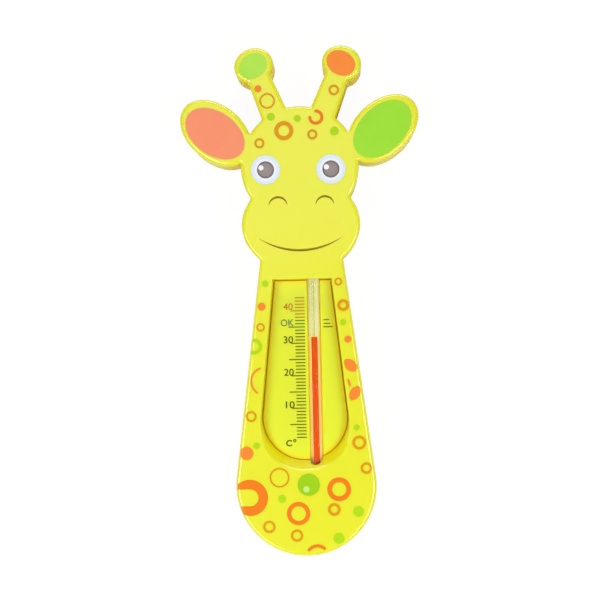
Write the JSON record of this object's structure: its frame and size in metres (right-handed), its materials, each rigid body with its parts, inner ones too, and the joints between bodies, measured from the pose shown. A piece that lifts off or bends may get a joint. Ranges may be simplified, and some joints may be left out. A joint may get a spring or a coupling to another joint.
{
  "type": "baby bath thermometer",
  "caption": "Flat giraffe-shaped bath thermometer for a baby's bath: plastic shells, a spirit tube and a degree scale in a window in the neck.",
  "frame": {"origin": "centre of the flat back's bounding box, on the surface that the thermometer lies on", "axes": "+Z out of the printed face, +Y from the round base to the horns, +X to the right as the face is read"},
  "size_m": [0.0938, 0.2, 0.0153],
  "materials": {
    "yellow_plastic": "glossy moulded plastic, lemon yellow",
    "plate_plastic": "satin moulded plastic, greenish yellow",
    "clear_glass": "clear drawn glass",
    "red_spirit": "dyed red spirit",
    "coral_ink": "printed coral ink",
    "orange_ink": "printed orange ink",
    "green_ink": "printed green ink",
    "white_ink": "printed white ink",
    "brown_ink": "printed grey brown ink"
  },
  "bodies": {
    "root": {"back_shell": "yellow_plastic", "base_dot_large": "green_ink", "base_dot_left": "green_ink", "base_dot_low": "green_ink", "base_dot_right": "green_ink", "base_ring_bottom_cut": "orange_ink", "base_ring_inner": "orange_ink", "base_ring_left_cut": "orange_ink", "base_ring_left_low": "orange_ink", "base_ring_low": "orange_ink", "base_ring_middle": "orange_ink", "base_ring_right": "orange_ink", "base_ring_right_top": "orange_ink", "base_ring_thin": "orange_ink", "brow_dot_left": "green_ink", "brow_dot_middle": "green_ink", "brow_dot_right": "green_ink", "brow_ring_large": "orange_ink", "brow_ring_left": "orange_ink", "brow_ring_open": "orange_ink", "brow_ring_right": "orange_ink", "ear_field_left": "coral_ink", "ear_field_right": "green_ink", "eye_white_left": "white_ink", "eye_white_right": "white_ink", "front_shell": "yellow_plastic", "glass_tube": "clear_glass", "glint_left": "white_ink", "glint_right": "white_ink", "horn_dot_left": "orange_ink", "horn_field_left": "green_ink", "horn_field_right": "orange_ink", "horn_ring_left": "orange_ink", "horn_ring_right": "orange_ink", "neck_bow_left": "orange_ink", "neck_dot_left_large": "orange_ink", "neck_dot_left_low": "green_ink", "neck_dot_left_top": "green_ink", "neck_dot_left_upper": "orange_ink", "neck_dot_right_low": "green_ink", "neck_dot_right_orange": "orange_ink", "neck_dot_right_upper": "green_ink", "neck_leaf_right_lower": "orange_ink", "neck_leaf_right_thin": "orange_ink", "neck_leaf_right_upper": "orange_ink", "neck_ring_left_cut": "green_ink", "neck_ring_left_low": "orange_ink", "neck_ring_left_upper": "orange_ink", "neck_ring_right_cut": "orange_ink", "neck_ring_right_low": "orange_ink", "neck_ring_right_top": "orange_ink", "pupil_left": "brown_ink", "pupil_right": "brown_ink", "scale_plate": "plate_plastic", "spirit_column": "red_spirit"}
  },
  "joints": []
}
